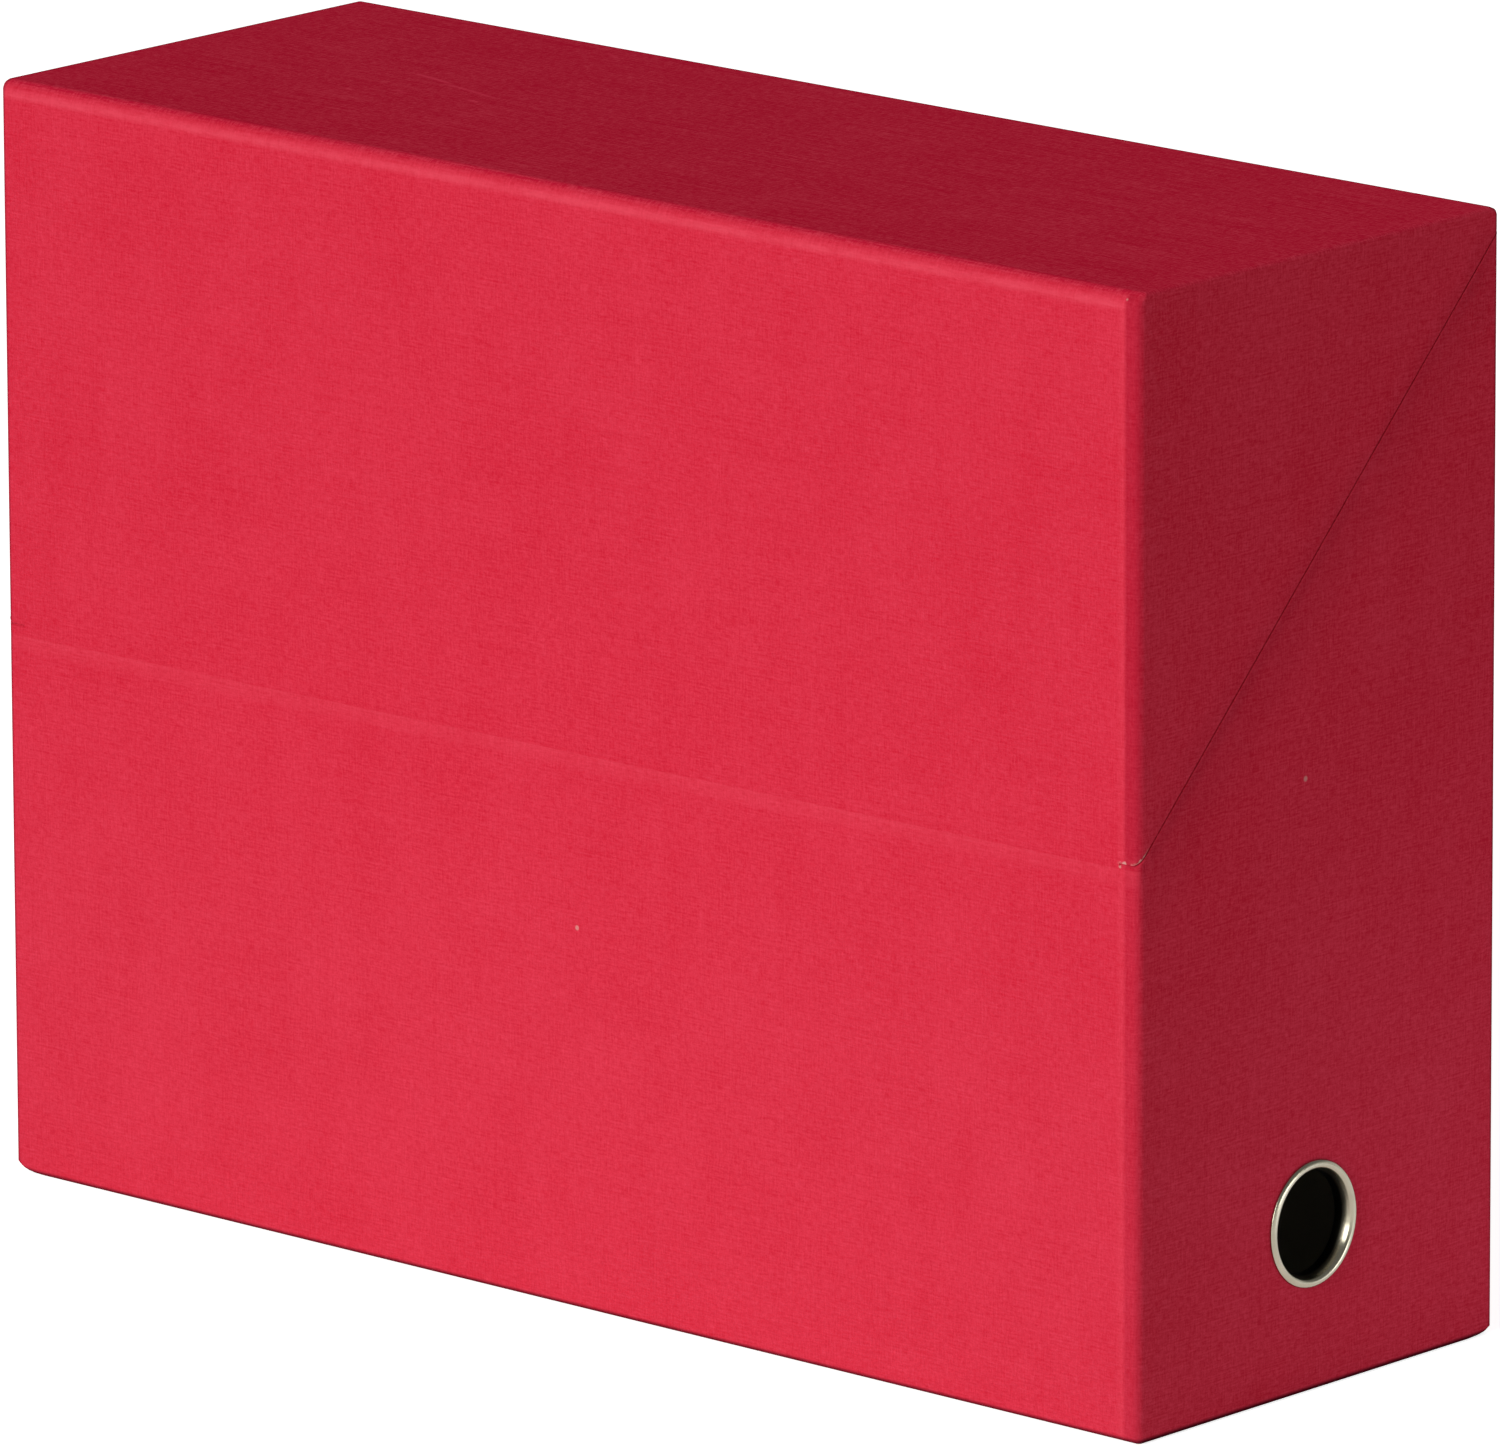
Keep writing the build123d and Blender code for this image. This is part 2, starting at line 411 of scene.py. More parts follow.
def tornPlaces(r, p):
    s = tearSet
    ragged = r.noise(p.place, 1 / s["ragged"], 2.0) - 0.5
    broken = r.fade(r.noise(p.place, 1 / s["broken"], 1.0), *s["brokenRange"])
    torn = r.fade(p.aboveCut + ragged * s["raggedHeight"], *s["height"]) * p.onLid * broken
    torn = torn * r.fade(p.x, *s["from"]) * r.fade(p.fromFront, *s["round"])
    torn = torn * r.fade(abs(p.x - s["gap"]), *s["gapReach"])
    for fleckX, fleckY, fleckZ, radius in s["flecks"]:
        spot = r.spot(p.place, (fleckX * mm, fleckY * mm, fleckZ * mm), radius * mm)
        torn = torn.most(spot * s["fleckShare"])
    return torn


# Painted shade: dark folds at the back and the left end, a dark line along the foot, and the ends darker
# under the lid's seam

paintedShadeSet = {
    "backFold": (2.1 * mm, 1.4 * mm),
    "backFoldOnTop": (3.6 * mm, 2.8 * mm),
    "backFlat": (0.05 * mm, 0.3 * mm),               # the flat walls stay free of the painted shade
    "leftFold": (2.0 * mm, 1.2 * mm),
    "leftFlat": (0.02 * mm, 0.12 * mm),
    "foldShare": 0.35,
    "foot": (1.7 * mm, 0.68 * mm),
    "footFlat": (0.02 * mm, 0.1 * mm),
    "footShare": 0.95,
    "footLessInFront": 0.25,
    "seamNear": 5 * mm,
    "seamFar": 20 * mm,
    "seamShare": 0.15,
    "seamHaze": 0.08,
    "seamRim": 0.9 * mm,                             # the rim itself gets less of the painted shade
    "seamRimShare": 0.4,
}


def paintedShadePlaces(r, p):
    s = paintedShadeSet
    back = r.fade(p.fromBack, *s["backFold"]).most(r.fade(p.fromBack, *s["backFoldOnTop"]) * p.onTop)
    back = back * r.fade(p.fromBack, *s["backFlat"])
    left = r.fade(p.fromLeft, *s["leftFold"]) * r.fade(p.fromLeft, *s["leftFlat"])
    foot = r.fade(p.z, *s["foot"]) * r.fade(p.z, *s["footFlat"])
    foot = foot * (s["footShare"] - p.onFront * s["footLessInFront"])
    seam = r.fade(p.aboveCut, -s["seamFar"], -s["seamNear"]) * s["seamHaze"]
    seam = seam + r.fade(p.aboveCut, -s["seamNear"], 0.0) * s["seamShare"]
    seam = seam * r.fade(p.aboveCut, 0.0, -s["seamRim"], s["seamRimShare"], 1.0)
    return foot.most(seam * p.onEnd * (1 - p.onLid)).most(back.most(left) * s["foldShare"])


paperSet = {
    "light": rgb(0.715, 0.043, 0.081),
    "deep": rgb(0.595, 0.0145, 0.037),
    "deepShadedTop": rgb(0.585, 0.0095, 0.039),
    "topShade": 0.17,                                # painted shade: the top is a little darker and deeper in colour
    "foldShadeLight": rgb(0.535, 0.025, 0.055),            # painted shade on the front beside the right upright fold
    "foldShadeDeep": rgb(0.435, 0.008, 0.025),
    "rubAndSheenColor": rgb(0.80, 0.085, 0.13),
    "rubAndSheenShare": 0.5,
    "scuffed": rgb(0.885, 0.06, 0.12),
    "paintedShadeColor": rgb(0.07, 0.004, 0.010),
    "core": rgb(0.66, 0.30, 0.27),                   # torn paper under the print
    "dust": rgb(0.80, 0.62, 0.85),                   # painted sheen of light from the floor, a thin haze on the lower half
    "floorSheenFade": (135 * mm, 50 * mm, 0.0, 0.008),
    "roughness": 0.7,
    "roughByThread": 0.5,
    "smoothByRub": 0.08,
    "specular": 0.0,
    "relief": 0.04 * mm,
}


def coveringPaper():
    s = paperSet
    r = newRecipe("coveringPaper")
    p = sheetPlaces(r)
    cloth = linenGrain(r, p)
    rubAndSheenMask = rubAndSheenPlaces(r, p)
    # painted shade beside the right upright fold
    foldShade = rightFoldShade(r, p)
    # the top's deep colour is painted shade
    deep = r.tint(foldShade, r.tint(p.onTop, s["deep"], s["deepShadedTop"]), s["foldShadeDeep"])
    light = r.tint(foldShade, s["light"], s["foldShadeLight"])
    # painted shade: the crease line and the darker top
    shade = grainShade(r, p, cloth) - creaseShadeLine(r, p) - p.onTop * s["topShade"]
    color = r.tint(shade, deep, light)
    # rubbing, with painted sheen on the long folds and painted highlight beside the crease
    color = r.tint(rubAndSheenMask * s["rubAndSheenShare"], color, s["rubAndSheenColor"])
    for line in rubAndSheenSet["scuffs"]:
        color = r.tint(scuffMark(r, p, line), color, s["scuffed"])
    # painted floor sheen, paler towards the bottom
    color = r.tint(r.fade(p.z, *s["floorSheenFade"]), color, s["dust"])
    # painted shade: far folds, foot line, and the ends under the lid's seam
    color = r.tint(paintedShadePlaces(r, p), color, s["paintedShadeColor"])
    color = r.tint(tornPlaces(r, p), color, s["core"])
    rough = s["roughness"] + cloth * s["roughByThread"] - rubAndSheenMask * s["smoothByRub"]
    relief = r.bump(grainRelief(r, p, cloth), s["relief"])
    return r.principled(color=color, roughness=rough, specular=s["specular"], normal=relief)


# Greyboard

boardSet = {
    "light": rgb(0.44, 0.40, 0.345),
    "dark": rgb(0.30, 0.265, 0.22),
    "speck": rgb(0.16, 0.14, 0.12),
    "pulp": 3 * mm,
    "speckSize": 0.8 * mm,
    "speckRange": (0.62, 0.72),
    "speckShare": 0.5,
    "roughness": 0.92,
    "speckSmooth": 0.1,
    "specular": 0.2,
    "relief": 0.06 * mm,
}


def greyboard():
    s = boardSet
    r = newRecipe("greyboard")
    place = r.node("TexCoord", None, None, out="Object")
    pulp = r.noise(place, 1 / s["pulp"], 4.0, 0.65)
    specks = r.fade(r.noise(place, 1 / s["speckSize"], 2.0), *s["speckRange"])
    color = r.tint(pulp, s["dark"], s["light"])
    color = r.tint(specks * s["speckShare"], color, s["speck"])
    return r.principled(color=color, roughness=s["roughness"] - specks * s["speckSmooth"],
                        specular=s["specular"], normal=r.bump(pulp, s["relief"]))


# Plain papers: the lining, the card of the collars and the sheet under the bottom

plainPapers = {
    "liningPaper": {"light": rgb(0.74, 0.68, 0.57), "dark": rgb(0.66, 0.60, 0.49), "fibre": 0.8 * mm,
                    "cloud": 12 * mm, "cloudDetail": 4.0, "cloudShare": 0.6,
                    "roughSpread": 0.2, "specular": 0.25},
    "collarCard": {"light": rgb(0.64, 0.56, 0.44), "dark": rgb(0.56, 0.48, 0.37), "fibre": 1.4 * mm,
                   "cloud": 12 * mm, "cloudDetail": 4.0, "cloudShare": 0.6,
                   "roughSpread": 0.2, "specular": 0.25},
    "bottomPaper": {"light": rgb(0.55, 0.018, 0.046), "dark": rgb(0.42, 0.012, 0.034), "fibre": 0.7 * mm,
                    "cloud": 15 * mm, "cloudDetail": 3.0, "cloudShare": 0.5,
                    "roughSpread": 0.15, "specular": 0.15},
}
plainRoughness = 0.8
plainRelief = 0.03 * mm


def plainPaper(name):
    s = plainPapers[name]
    r = newRecipe(name)
    place = r.node("TexCoord", None, None, out="Object")
    cloud = r.noise(place, 1 / s["cloud"], s["cloudDetail"], 0.6)
    fibres = r.noise(place, 1 / s["fibre"], 3.0, 0.7)
    color = r.tint(cloud * s["cloudShare"] + fibres * (1 - s["cloudShare"]), s["dark"], s["light"])
    return r.principled(color=color, roughness=plainRoughness + (fibres - 0.5) * s["roughSpread"],
                        specular=s["specular"], normal=r.bump(fibres, plainRelief))


# Nickel of the eyelet and its washer

nickelSet = {
    "light": rgb(0.414, 0.386, 0.30),
    "dark": rgb(0.285, 0.262, 0.193),
    "tubeShade": rgb(0.03, 0.027, 0.02),             # painted shade deep inside the tube
    "tubeShadeDepth": (0.8 * mm, 1.7 * mm),            # in from the outer face of the end
    "cloud": 5 * mm,
    "fine": 0.35 * mm,
    "roughness": 0.16,
    "cloudRough": 0.12,
    "fineRough": 0.04,
    "relief": 0.004 * mm,
}


def nickelPlate():
    s = nickelSet
    r = newRecipe("nickelPlate")
    place = r.node("TexCoord", None, None, out="Object")
    centred = r.node("VectorMath", {"operation": "SUBTRACT"}, {0: place, 1: tuple(eyeletCentre)})
    cloud = r.noise(centred, 1 / s["cloud"], 3.0, 0.6)
    fine = r.noise(centred, 1 / s["fine"], 2.0)
    x, _, _ = r.split(place)
    # painted shade: the metal turns near black deeper in the tube
    inside = r.fade(halfLength - x, *s["tubeShadeDepth"])
    color = r.tint(inside, r.tint(cloud, s["dark"], s["light"]), s["tubeShade"])
    rough = s["roughness"] + cloud * s["cloudRough"] + fine * s["fineRough"]
    return r.principled(color=color, metallic=1.0, roughness=rough, normal=r.bump(fine, s["relief"]))


materials = {
    "covering_paper": coveringPaper(),
    "greyboard": greyboard(),
    "lining_paper": plainPaper("liningPaper"),
    "collar_card": plainPaper("collarCard"),
    "bottom_paper": plainPaper("bottomPaper"),
    "nickel": nickelPlate(),
}
for row in frame["record"]["subparts"]:              # every node gets the finish of its slot
    slots = frame["nodes"][row["node"]].data.materials
    slots.clear()
    slots.append(materials[row["material_slot"]])
print("materials:", len(materials))


# Covering: one folded block, sliced, then parted into base, hinge paper and lid

coveringSet = {
    "folds": (2.0 * mm, 1.2 * mm, 2.0 * mm),         # of the edges along X, Y and Z
    "topFold": 3.2 * mm,                             # of the upper edges along X
    "foldSegments": 8,
    "guard": 0.5 * mm,                               # narrow faces that keep the flats flat
    "cornerWear": {(-1, -1): 4.6 * mm, (-1, 1): 3.6 * mm, (1, 1): 3.6 * mm},    # lower corners, pressed round
    "cornerReach": 8 * mm,
    "cornerSteps": (3.3 * mm, 4.8 * mm, 8 * mm),     # slices that let the corners round
    "boardSteps": (0.8 * mm, 1.6 * mm, 2.4 * mm, 3.3 * mm, 4.8 * mm, 8 * mm),
    "boardGap": 0.35 * mm,                           # paper and a little air over the board
    "cell": 11 * mm,
    "paper": 0.3 * mm,
    "wall": 2.6 * mm,                                # board with paper on both sides
    "turnIn": 14 * mm,
    "turnUnder": 15 * mm,
    "rimFold": 0.35 * mm,
    "rimSegments": 2,
    "stripDepth": 1 * mm,                            # the hinge paper is cut from faces this near the front
    "bendReach": 1.2 * mm,                           # it bends this far either side of the hinge
    "eyeletPatch": 19 * mm,
    "eyeletRings": (16 * mm, 12.7 * mm),             # from the patch in to the hole
    "sharpAngle": 50.0,
}


def creaseLevel(x):
    return creaseSet["level"] + creaseSet["tilt"] * x


def foldedBlock():
    s = coveringSet
    bm = bmesh.new()
    bmesh.ops.create_cube(bm, size=1.0)
    bmesh.ops.scale(bm, vec=(2 * halfLength, 2 * halfDepth, boxHeight), verts=bm.verts)
    bmesh.ops.translate(bm, vec=(0, 0, boxHeight / 2), verts=bm.verts)
    weight = bm.edges.layers.float.new("bevel_weight_edge")
    widest = max(s["topFold"], *s["folds"])
    for edge in bm.edges:
        run = edge.verts[1].co - edge.verts[0].co
        along = max(range(3), key=lambda axis: abs(run[axis]))
        fold = s["folds"][along]
        if along == 0 and edge.verts[0].co.z > boxHeight / 2:
            fold = s["topFold"]
        edge[weight] = fold / widest
    mesh = bpy.data.meshes.new("block")
    bm.to_mesh(mesh)
    bm.free()
    block = bpy.data.objects.new("block", mesh)
    scene.collection.objects.link(block)
    bevel = block.modifiers.new("folds", "BEVEL")
    bevel.limit_method = "WEIGHT"
    bevel.width = widest
    bevel.segments = s["foldSegments"]
    bevel.use_clamp_overlap = False
    shaped = bpy.data.meshes.new_from_object(block.evaluated_get(bpy.context.evaluated_depsgraph_get()))
    bpy.data.objects.remove(block)
    bm = bmesh.new()
    bm.from_mesh(shaped)
    bpy.data.meshes.remove(shaped)
    return bm


def sliceAt(bm, point, normal, keep=None):
    faces = [face for face in bm.faces if keep is None or keep(face)]
    edges = {edge for face in faces for edge in face.edges}
    verts = {vert for face in faces for vert in face.verts}
    bmesh.ops.bisect_plane(bm, geom=faces + list(edges) + list(verts), dist=sliceSnap,
                           plane_co=point, plane_no=normal)


def evenly(reach, cell):
    count = max(2, round(2 * reach / cell))
    return [-reach + 2 * reach * step / count for step in range(1, count)]


def onFront(face):
    return face.calc_center_median().y < -halfDepth + coveringSet["folds"][2]


def nearEyelet(point, reach):
    off = max(abs(point.y - eyeletCentre.y), abs(point.z - eyeletCentre.z))
    return point.x > halfLength - nearly and off < reach


def inPatch(face):
    return nearEyelet(face.calc_center_median(), coveringSet["eyeletPatch"])


def slicedBlock():
    s = coveringSet
    bm = foldedBlock()
    along, across, upright = s["folds"]
    top = s["topFold"]
    patch = s["eyeletPatch"]
    lengthways = evenly(halfLength - upright - s["guard"], s["cell"])
    for side in (-1, 1):
        lengthways += [side * (halfLength - step) for step in s["cornerSteps"]]
        lengthways += [side * stripHigh.x, side * (halfLength - s["turnUnder"])]
        lengthways += [side * (halfLength - upright - s["guard"]), side * (halfLength - across - s["guard"])]
    for x in lengthways:
        sliceAt(bm, (x, 0, 0), (1, 0, 0))
    depthways = evenly(halfDepth - top - s["guard"], s["cell"])
    for side in (-1, 1):
        depthways += [side * (halfDepth - step) for step in s["cornerSteps"]]
        depthways += [side * (halfDepth - s["turnUnder"]), side * (halfDepth - top - s["guard"])]
        depthways.append(side * (halfDepth - upright - s["guard"]))
        depthways.append(eyeletCentre.y + side * patch)
    for y in depthways:
        sliceAt(bm, (0, y, 0), (0, 1, 0))
    middle = boxHeight / 2
    levels = [middle + step for step in evenly(middle - top - s["guard"], s["cell"])]
    levels += [along + s["guard"], boxHeight - top - s["guard"]]
    levels += [across + s["guard"], boxHeight - across - s["guard"]]
    levels += [eyeletCentre.z - patch, eyeletCentre.z + patch]
    levels += s["cornerSteps"]
    for z in levels:
        sliceAt(bm, (0, 0, z), (0, 0, 1))
    for step in evenly(patch, s["cell"] / 2):        # finer round the eyelet
        sliceAt(bm, (0, eyeletCentre.y + step, 0), (0, 1, 0), inPatch)
        sliceAt(bm, (0, 0, eyeletCentre.z + step), (0, 0, 1), inPatch)
    for z in (stripLow.z, stripHigh.z):
        sliceAt(bm, (0, 0, z), (0, 0, 1), onFront)
    for step in creaseSet["steps"]:                  # slices along the tilted crease
        flank = creaseSet["lower"] if step < 0 else creaseSet["upper"]
        point = (0, 0, creaseSet["level"] + step * flank)
        sliceAt(bm, point, (-creaseSet["tilt"], 0, 1), onFront)
    return bm


def creaseDepth(co):
    s = creaseSet
    above = co.z - creaseLevel(co.x)
    share = 1 + above / s["lower"] if above < 0 else 1 - above / s["upper"]
    if share <= 0:
        return 0.0
    right = (co.x + halfLength) / (2 * halfLength)
    depth = s["depthLeft"] * (1 - right) + s["depthRight"] * right
    mean, waver = s["uneven"]
    uneven = mean + waver * noise.noise(Vector((co.x / s["unevenLength"], 0.0, 4.0)))
    front = max(0.0, min(1.0, 1 - (co.y + halfDepth) / s["foldReach"]))
    return depth * uneven * share ** s["hollow"] * front


def wearCorner(co, inset=0.0):                       # draws a point near a worn lower corner in
    s = coveringSet
    side = (math.copysign(1, co.x), math.copysign(1, co.y))
    radius = s["cornerWear"].get(side, 0.0)
    away = Vector((halfLength - abs(co.x), halfDepth - abs(co.y), co.z))
    shift = Vector((0, 0, 0))
    for first, aside in ((0, away.y), (1, away.x)):
        near = Vector((radius - away[first], radius - away.z))
        past = near.length - radius + inset
        if min(near) <= 0 or past <= 0 or aside >= s["cornerReach"]:
            continue
        pull = near.normalized() * past * (1 - aside / s["cornerReach"]) ** 2
        shift[first] += pull[0]
        shift.z += pull[1]
    co.x -= shift.x * side[0]
    co.y -= shift.y * side[1]
    co.z += shift.z


def settle(bm):                                      # press the crease into the front, wear the corners
    for vert in bm.verts:
        vert.co.y += creaseDepth(vert.co)
        wearCorner(vert.co)


def inStrip(face):
    middle = face.calc_center_median()
    onFace = middle.y < -halfDepth + coveringSet["stripDepth"]
    return onFace and abs(middle.x) < stripHigh.x and stripLow.z < middle.z < stripHigh.z


def dropFaces(bm, faces):
    bmesh.ops.delete(bm, geom=faces, context="FACES")


def cutBlock(bm, side):                              # side -1 keeps what is under the cut, 1 what is over it
    point = hinge + Vector((0, 0, side * seamHalf))
    geom = bm.verts[:] + bm.edges[:] + bm.faces[:]
    bmesh.ops.bisect_plane(bm, geom=geom, dist=sliceSnap, plane_co=point, plane_no=cutNormal,
                           clear_outer=side < 0, clear_inner=side > 0)


def foldOverRim(bm, side):                           # paper turned over the cut edge to the inside
    s = coveringSet
    lift = side * seamHalf
    rim = [edge for edge in bm.edges if edge.is_boundary
           and all(abs(vert.co.z - cutHeight(vert.co.y) - lift) < weld for vert in edge.verts)]
    made = bmesh.ops.extrude_edge_only(bm, edges=rim)["geom"]
    inner = {vert for vert in made if isinstance(vert, bmesh.types.BMVert)}
    reachX = halfLength - s["wall"]
    reachY = halfDepth - s["wall"]
    for vert in inner:
        vert.co.x = max(-reachX, min(reachX, vert.co.x))
        vert.co.y = max(-reachY, min(reachY, vert.co.y))
        vert.co.z = cutHeight(vert.co.y) + lift
    tail = [edge for edge in made if isinstance(edge, bmesh.types.BMEdge)
            and all(vert in inner for vert in edge.verts)
            and any(vert.co.y > -reachY + nearly for vert in edge.verts)]
    band = bmesh.ops.extrude_edge_only(bm, edges=tail)["geom"]
    for vert in band:
        if isinstance(vert, bmesh.types.BMVert):
            height = vert.co.z + side * s["turnIn"] / cutNormal.z
            vert.co.z = min(height, boxHeight - s["wall"])
    bmesh.ops.bevel(bm, geom=[edge for edge in rim if edge.is_valid], offset=s["rimFold"],
                    offset_type="OFFSET", segments=s["rimSegments"], profile=0.5, affect="EDGES",
                    material=-1, clamp_overlap=True)
    bmesh.ops.remove_doubles(bm, verts=bm.verts, dist=weld)


def openWindow(bm):                                  # only a border of covering goes under the bottom
    s = coveringSet
    reachX = halfLength - s["turnUnder"]
    reachY = halfDepth - s["turnUnder"]
    found = []
    for face in bm.faces:
        middle = face.calc_center_median()
        if middle.z < nearly and abs(middle.x) < reachX and abs(middle.y) < reachY:
            found.append(face)
    dropFaces(bm, found)


def punchEyelet(bm):                                 # square patch drawn in to a round hole
    s = coveringSet
    dropFaces(bm, [face for face in bm.faces if inPatch(face)])
    rim = [edge for edge in bm.edges if edge.is_boundary
           and all(nearEyelet(vert.co, s["eyeletPatch"] + nearly) for vert in edge.verts)]
    for radius in s["eyeletRings"]:
        made = bmesh.ops.extrude_edge_only(bm, edges=rim)["geom"]
        for vert in made:
            if isinstance(vert, bmesh.types.BMVert):
                away = vert.co - eyeletCentre
                vert.co = eyeletCentre + away.normalized() * radius
        rim = [edge for edge in made if isinstance(edge, bmesh.types.BMEdge) and edge.is_boundary]


def layWeave(bm):                                    # flat sheet coordinates in metres
    layer = bm.loops.layers.uv.new("weave")
    bm.normal_update()
    for face in bm.faces:
        out = max(range(3), key=lambda axis: abs(face.normal[axis]))
        across, up = [(1, 2), (0, 2), (0, 1)][out]
        for loop in face.loops:
            loop[layer].uv = (loop.vert.co[across], loop.vert.co[up])


def newPiece(bm, name, material):
    mesh = bpy.data.meshes.new(name)
    for face in bm.faces:
        face.smooth = True
    bm.to_mesh(mesh)
    bm.free()
    mesh.materials.append(material)
    piece = bpy.data.objects.new(name, mesh)
    scene.collection.objects.link(piece)
    return piece


def paperPiece(bm, name):
    s = coveringSet
    bmesh.ops.recalc_face_normals(bm, faces=bm.faces)
    bmesh.ops.solidify(bm, geom=bm.faces, thickness=s["paper"])
    for vert in bm.verts:                            # the rounded rims stay flush with the walls
        vert.co.y = max(-halfDepth, min(halfDepth, vert.co.y))
    layWeave(bm)
    piece = newPiece(bm, name, materials["covering_paper"])
    piece.data.set_sharp_from_angle(angle=math.radians(s["sharpAngle"]))
    return piece


def makeCovering():
    bm = slicedBlock()
    settle(bm)
    whole = bpy.data.meshes.new("whole")
    bm.to_mesh(whole)
    bm.free()

    base = bmesh.new()
    base.from_mesh(whole)
    cutBlock(base, -1)
    dropFaces(base, [face for face in base.faces if inStrip(face)])
    openWindow(base)
    punchEyelet(base)
    foldOverRim(base, -1)
    baseCovering = paperPiece(base, "baseCovering")
    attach(baseCovering, "base")
    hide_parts("base_wrap")

    lid = bmesh.new()
    lid.from_mesh(whole)
    cutBlock(lid, 1)
    dropFaces(lid, [face for face in lid.faces if inStrip(face)])
    foldOverRim(lid, 1)
    lidCovering = paperPiece(lid, "lidCovering")
    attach(lidCovering, "lid")
    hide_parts("lid_wrap")

    strip = bmesh.new()
    strip.from_mesh(whole)
    dropFaces(strip, [face for face in strip.faces if not inStrip(face)])
    hingePaper = paperPiece(strip, "hingePaper")
    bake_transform(hingePaper)
    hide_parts("hinge_strip")
    bpy.data.meshes.remove(whole)
    return baseCovering, lidCovering, hingePaper


def wornBoard(node):                                 # the board follows the paper at the worn corners
    s = coveringSet
    bm = bmesh.new()
    bm.from_mesh(frame["nodes"][node].data)
    bmesh.ops.remove_doubles(bm, verts=bm.verts, dist=weld)
    for step in s["boardSteps"]:
        for side in (-1, 1):
            sliceAt(bm, (side * (halfLength - step), 0, 0), (1, 0, 0))
            sliceAt(bm, (0, side * (halfDepth - step), 0), (0, 1, 0))
        sliceAt(bm, (0, 0, step), (0, 0, 1))
    for vert in bm.verts:
        wearCorner(vert.co, s["boardGap"])
    name = "".join(word.capitalize() for word in node.split("_"))
    board = newPiece(bm, "worn" + name, materials["greyboard"])
    board.data.set_sharp_from_angle(angle=math.radians(s["sharpAngle"]))
    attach(board, "base")
    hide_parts(node)
    return board


for piece in makeCovering():
    print("covering:", piece.name, len(piece.data.polygons), "faces")
for side in ("bottom", "front", "back", "left_end", "right_end"):
    print("board:", wornBoard("base_%s_board" % side).name)


# Finger eyelet

eyeletSet = {
    "outline": ((0.0, 14.4), (0.5, 14.35), (0.88, 13.95), (1.1, 13.4), (1.0, 12.85), (0.6, 12.45),
                (0.1, 12.25), (-0.5, 11.98), (-1.4, 11.72), (-2.3, 11.5), (-3.3, 11.5), (-3.8, 11.9),
                (-3.85, 13.0), (-3.4, 13.6), (-3.4, 12.0), (-2.3, 12.0), (-0.9, 12.1),
                (-0.05, 12.5)),                      # out from the end and radius, in millimetres
    "steps": 64,
    "smooth": 2,
}


def makeEyelet():
    s = eyeletSet
    bm = bmesh.new()
    ring = [bm.verts.new(eyeletCentre + Vector((out, 0, radius)) * mm) for out, radius in s["outline"]]
    edges = [bm.edges.new((ring[index - 1], ring[index])) for index in range(len(ring))]
    bmesh.ops.spin(bm, geom=ring + edges, cent=eyeletCentre, axis=(1, 0, 0), angle=2 * math.pi,
                   steps=s["steps"], use_merge=True)
    bmesh.ops.remove_doubles(bm, verts=bm.verts, dist=weld)
    bmesh.ops.recalc_face_normals(bm, faces=bm.faces)
    eyelet = newPiece(bm, "eyeletRing", materials["nickel"])
    soft = eyelet.modifiers.new("round", "SUBSURF")
    soft.levels = s["smooth"]
    soft.render_levels = s["smooth"]
    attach(eyelet, "base")
    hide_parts("finger_eyelet")
    return eyelet


print("eyelet:", len(makeEyelet().data.polygons), "faces")


# Studio

studioSet = {
    "floorReach": 9.0,
    "floorDrop": 0.1 * mm,
    "floorSides": 96,
    "floorCloud": 1.5,
    "floorPale": (rgb(0.85, 0.85, 0.85), rgb(0.88, 0.88, 0.87)),
    "floorGlow": 0.80,                               # lifts the floor to white for the camera
    "ambient": 0.262,
    "whiteUpTo": (0.40, 0.15),                       # the backdrop fades out towards the ceiling
    "lamps": {                                       # azimuth, elevation, distance, size, power, color
        "keySoftbox": (2.5, 22.0, 6.0, 3.0, 250.0, (1.0, 1.0, 1.0)),
    },
    "cards": {                                       # place, aim, size, power, color
        "rightCard": ((0.32, 0.08, 0.03), (0.17, 0.05, 0.03), (0.12, 0.05), 0.026, (0.9, 1.0, 1.2)),
        "frontCard": ((-0.02, -0.28, 0.02), (-0.02, -0.06, 0.02), (0.5, 0.04), 0.064, (1.0, 1.0, 1.0)),
        "glintStrip": ((1.91, 0.34, 0.48), (0.17, 0.0, 0.04), (1.2, 0.3), 9.0, (1.0, 1.0, 1.0)),
    },
    "glossOnly": ("glintStrip",),                    # shows in the metal and leaves the paper as it is
}


def seenDirectly(r):                                 # camera, gloss and glass see the white studio
    path = r.node("LightPath")
    seen = [Wire(r, path.socket.node.outputs[name])
            for name in ("Is Camera Ray", "Is Glossy Ray", "Is Transmission Ray")]
    return seen[0].most(seen[1]).most(seen[2])


def makeWorld():
    s = studioSet
    world = bpy.data.worlds.new("studio")
    scene.world = world
    r = Recipe(world)
    around = r.node("Background", None, {"Color": rgb(1, 1, 1), "Strength": s["ambient"]})
    white = r.node("Background", None, {"Color": rgb(1, 1, 1), "Strength": 1.0})
    _, _, rise = r.split(r.node("TexCoord", None, None, out="Generated"))
    backdrop = seenDirectly(r) * r.fade(rise, *s["whiteUpTo"])
    mixed = r.node("MixShader", None, {0: backdrop, 1: around, 2: white})
    r.node("OutputWorld", None, {"Surface": mixed})


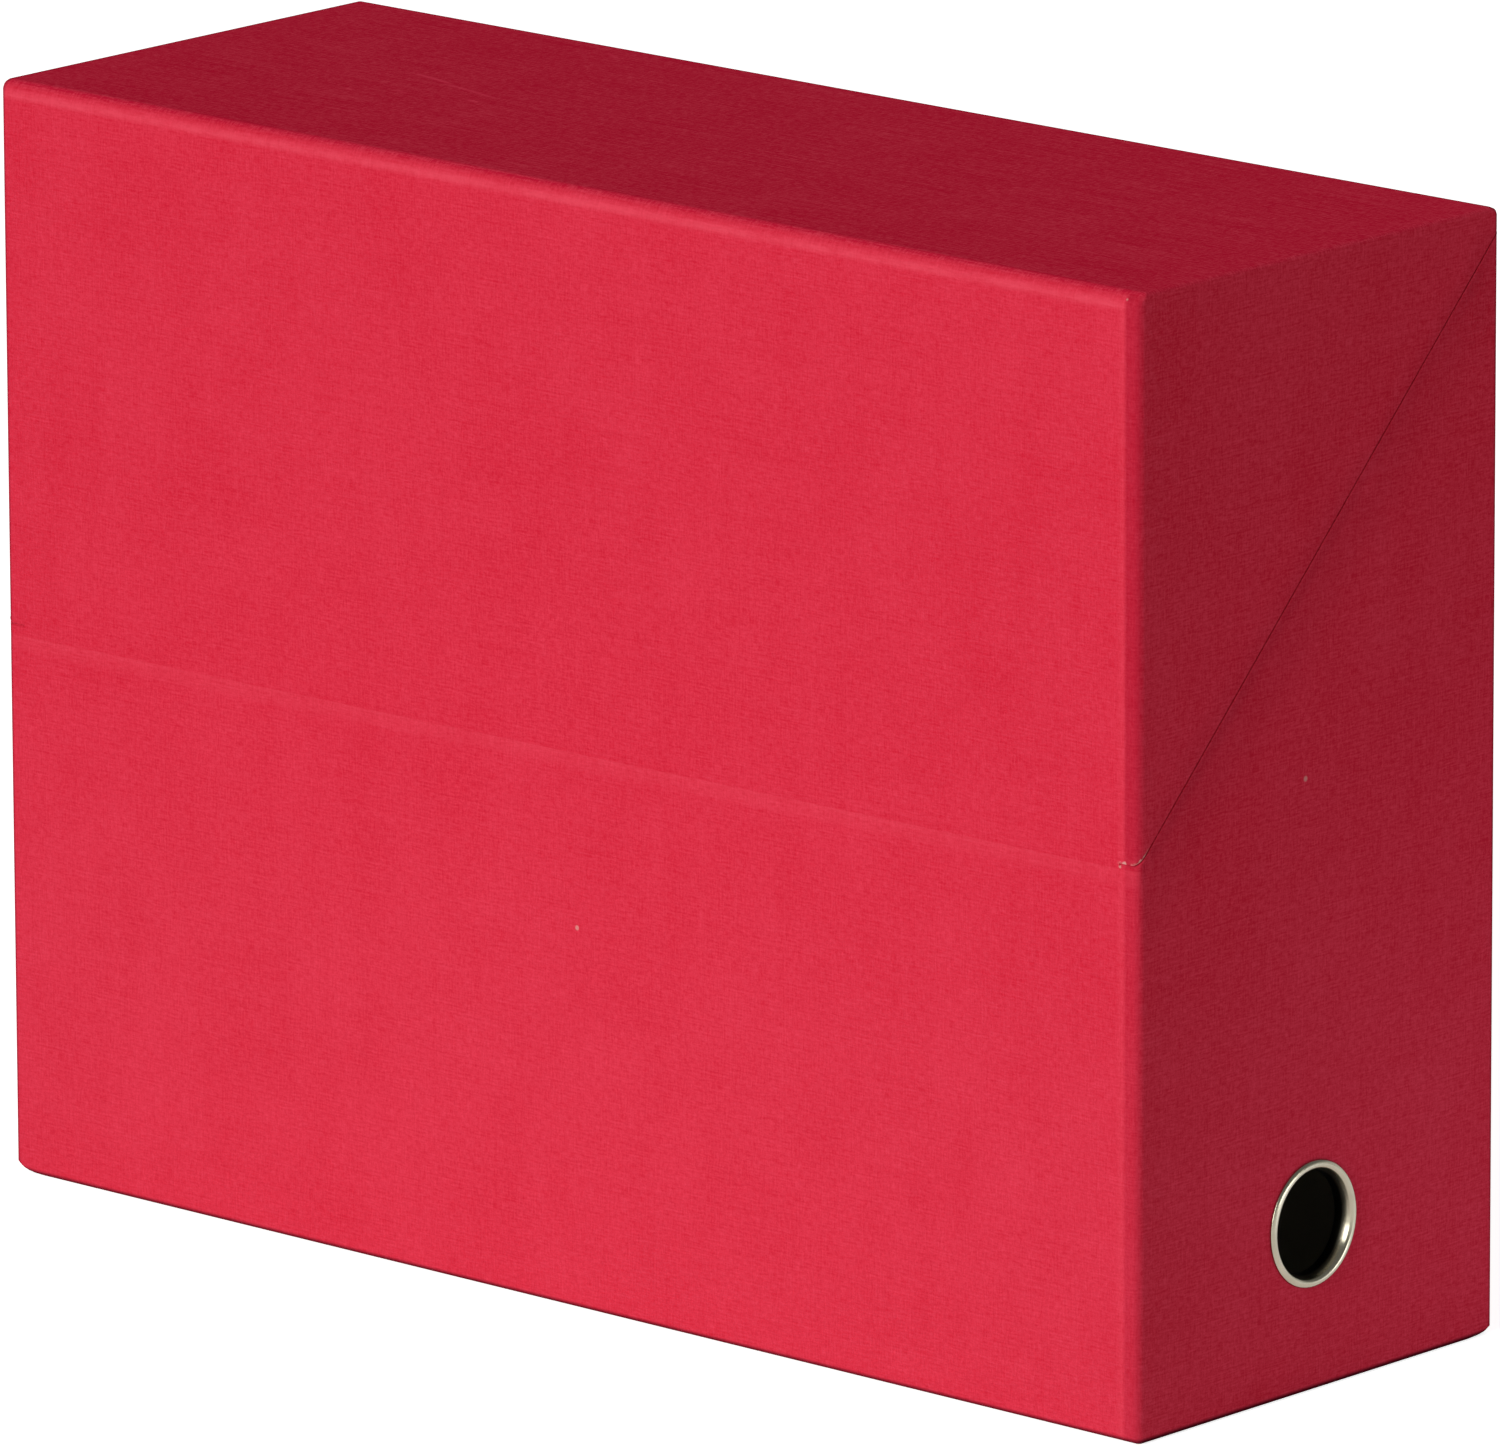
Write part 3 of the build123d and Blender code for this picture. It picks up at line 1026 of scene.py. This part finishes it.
def makeFloor():
    s = studioSet
    bm = bmesh.new()
    bmesh.ops.create_circle(bm, cap_ends=True, segments=s["floorSides"], radius=s["floorReach"])
    bmesh.ops.translate(bm, vec=(0, 0, -s["floorDrop"]), verts=bm.verts)
    r = newRecipe("studioFloor")
    place = r.node("TexCoord", None, None, out="Object")
    matt = r.node("BsdfDiffuse", None, {"Color": r.tint(r.noise(place, s["floorCloud"]), *s["floorPale"])})
    glow = r.node("Emission", None, {"Color": rgb(1, 1, 1), "Strength": seenDirectly(r) * s["floorGlow"]})
    both = r.node("AddShader", None, {0: matt, 1: glow})
    r.node("OutputMaterial", None, {"Surface": both})
    newPiece(bm, "floor", r.owner)


def aimLamp(lamp, place, target):
    holder = bpy.data.objects.new(lamp.name, lamp)
    holder.location = place
    holder.rotation_euler = (target - place).to_track_quat("-Z", "Y").to_euler()
    holder.visible_camera = False
    holder.visible_diffuse = lamp.name not in studioSet["glossOnly"]
    scene.collection.objects.link(holder)


def makeLamps():
    middle = Vector((0, 0, boxHeight / 2))
    for name, (azimuth, elevation, distance, size, power, color) in studioSet["lamps"].items():
        turn, rise = math.radians(azimuth), math.radians(elevation)
        toLamp = Vector((math.sin(turn) * math.cos(rise), -math.cos(turn) * math.cos(rise), math.sin(rise)))
        lamp = bpy.data.lights.new(name, "AREA")
        lamp.size = size
        lamp.energy = power
        lamp.color = color
        aimLamp(lamp, middle + toLamp * distance, middle)
    for name, (place, aim, size, power, color) in studioSet["cards"].items():
        lamp = bpy.data.lights.new(name, "AREA")
        lamp.shape = "RECTANGLE"
        lamp.size, lamp.size_y = size
        lamp.energy = power
        lamp.color = color
        aimLamp(lamp, Vector(place), Vector(aim))


makeWorld()
makeFloor()
makeLamps()
print("studio: floor, world and", len(bpy.data.lights), "lamps")


# Camera, solved from the corners and edges of the box

cameraSet = {
    "azimuth": 42.229,
    "elevation": 13.942,
    "roll": -0.231,
    "distance": 3.964,
    "aside": 1.9 * mm,                               # camera axis past the origin, to the right and up
    "above": 118.72 * mm,
    "focalPixels": 17622.0,
    "imageWidth": 1500,
    "sensor": 36.0,
}


def makeCamera():
    s = cameraSet
    azimuth, elevation, roll = (math.radians(s[key]) for key in ("azimuth", "elevation", "roll"))
    back = Vector((math.sin(azimuth) * math.cos(elevation), -math.cos(azimuth) * math.cos(elevation),
                   math.sin(elevation)))
    right = Vector((math.cos(azimuth), math.sin(azimuth), 0))
    up = back.cross(right)
    rolledRight = right * math.cos(roll) + up * math.sin(roll)
    rolledUp = up * math.cos(roll) - right * math.sin(roll)
    data = bpy.data.cameras.new("photoCamera")
    data.sensor_width = s["sensor"]
    data.lens = s["sensor"] * s["focalPixels"] / s["imageWidth"]
    camera = bpy.data.objects.new("photoCamera", data)
    turned = Matrix((rolledRight, rolledUp, back)).transposed().to_4x4()
    spot = rolledRight * s["aside"] + rolledUp * s["above"] + back * s["distance"]
    camera.matrix_world = Matrix.Translation(spot) @ turned
    scene.collection.objects.link(camera)
    scene.camera = camera


makeCamera()
scene.view_settings.view_transform = "Standard"
print("camera: set")
